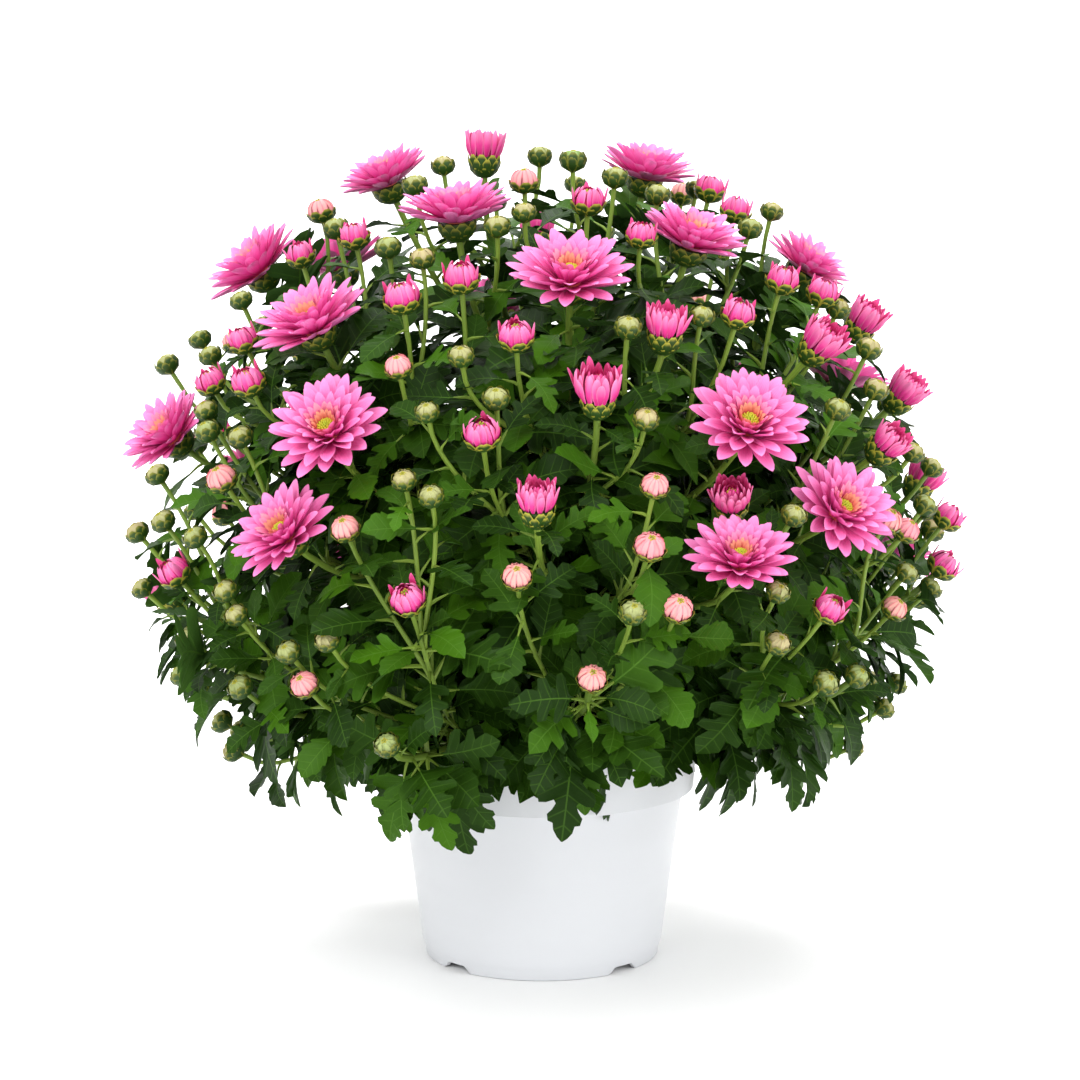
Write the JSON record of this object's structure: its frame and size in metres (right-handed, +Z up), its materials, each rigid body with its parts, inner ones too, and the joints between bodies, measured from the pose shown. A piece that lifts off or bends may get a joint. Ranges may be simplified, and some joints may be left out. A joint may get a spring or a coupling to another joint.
{
  "type": "pot chrysanthemum",
  "caption": "Round white plastic pot of soil with a dense dome of leafy stems that bear pink daisy-like blooms, half-open blooms and buds.",
  "frame": {"origin": "centre of the pot's foot, on the surface that it stands on", "axes": "+Z up along the pot's axis; -Y towards the viewer of the picture; +X to that viewer's right"},
  "size_m": [0.4251, 0.4256, 0.4275],
  "materials": {
    "white_plastic": "satin",
    "potting_soil": "matte",
    "green": "matte",
    "petals": "matte",
    "half_petals": "matte"
  },
  "bodies": {
    "root": {"bloom_01": "petals", "bloom_02": "petals", "bloom_03": "petals", "bloom_04": "petals", "bloom_05": "petals", "bloom_06": "petals", "bloom_07": "petals", "bloom_08": "petals", "bloom_09": "petals", "bloom_10": "petals", "bloom_11": "petals", "bloom_12": "petals", "bloom_13": "petals", "bloom_14": "petals", "bloom_15": "petals", "bloom_16": "petals", "bloom_17": "petals", "bloom_18": "petals", "bloom_19": "petals", "bloom_20": "petals", "bloom_21": "petals", "bloom_22": "petals", "bloom_23": "petals", "half_bloom_01": "half_petals", "half_bloom_02": "half_petals", "half_bloom_03": "half_petals", "half_bloom_04": "half_petals", "half_bloom_05": "half_petals", "half_bloom_06": "half_petals", "half_bloom_07": "half_petals", "half_bloom_08": "half_petals", "half_bloom_09": "half_petals", "half_bloom_10": "half_petals", "half_bloom_11": "half_petals", "half_bloom_12": "half_petals", "half_bloom_13": "half_petals", "half_bloom_14": "half_petals", "pot": "white_plastic", "soil": "potting_soil", "spray_01": "green", "spray_02": "green", "spray_03": "green", "spray_04": "green", "spray_05": "green", "spray_06": "green", "spray_07": "green", "spray_08": "green", "spray_09": "green", "spray_10": "green", "spray_11": "green", "spray_12": "green", "spray_13": "green", "spray_14": "green", "spray_15": "green", "spray_16": "green", "spray_17": "green", "spray_18": "green", "spray_19": "green"}
  },
  "joints": []
}
